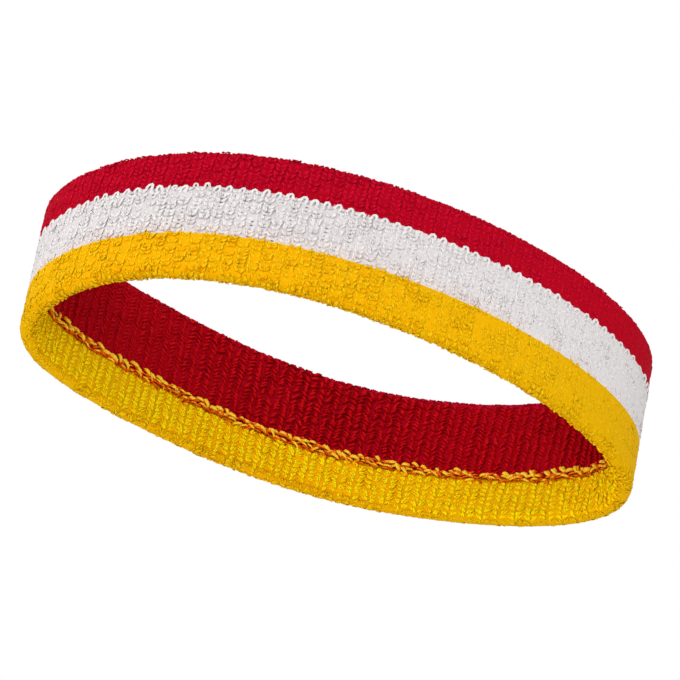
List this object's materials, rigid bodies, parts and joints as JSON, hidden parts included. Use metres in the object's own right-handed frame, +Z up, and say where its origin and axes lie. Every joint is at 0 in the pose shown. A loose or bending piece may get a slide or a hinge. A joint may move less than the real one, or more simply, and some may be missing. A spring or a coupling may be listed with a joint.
{
  "type": "sports headband",
  "caption": "Endless terry-knit sweatband for the head, folded double, with red, white and yellow stripes and a linked seam on the inside.",
  "frame": {"origin": "centre of the bounding box in X and Y, at the lower fold's lowest face", "axes": "+Z up along the loop's axis, towards the red fold; X along the loop's long side; -Y is the near wall in the picture"},
  "size_m": [0.1846, 0.0964, 0.05],
  "materials": {
    "red_terry": "looped terry pile",
    "white_terry": "looped terry pile",
    "yellow_terry": "looped terry pile",
    "ground_knit": "fine plain knit",
    "yellow_seam": "bulky overlock yarn",
    "red_seam": "twisted sewing thread",
    "elastic": "yarn-covered thread"
  },
  "bodies": {
    "root": {"ground_knit": "ground_knit", "red_terry": "red_terry", "white_terry": "white_terry", "yellow_terry": "yellow_terry", "seam_edge": "yellow_seam", "seam_thread": "red_seam", "elastic_outer_1": "elastic", "elastic_outer_2": "elastic", "elastic_outer_3": "elastic", "elastic_outer_4": "elastic", "elastic_outer_5": "elastic", "elastic_outer_6": "elastic", "elastic_outer_7": "elastic", "elastic_inner_1": "elastic", "elastic_inner_2": "elastic", "elastic_inner_3": "elastic", "elastic_inner_4": "elastic", "elastic_inner_5": "elastic", "elastic_inner_6": "elastic"}
  },
  "joints": []
}
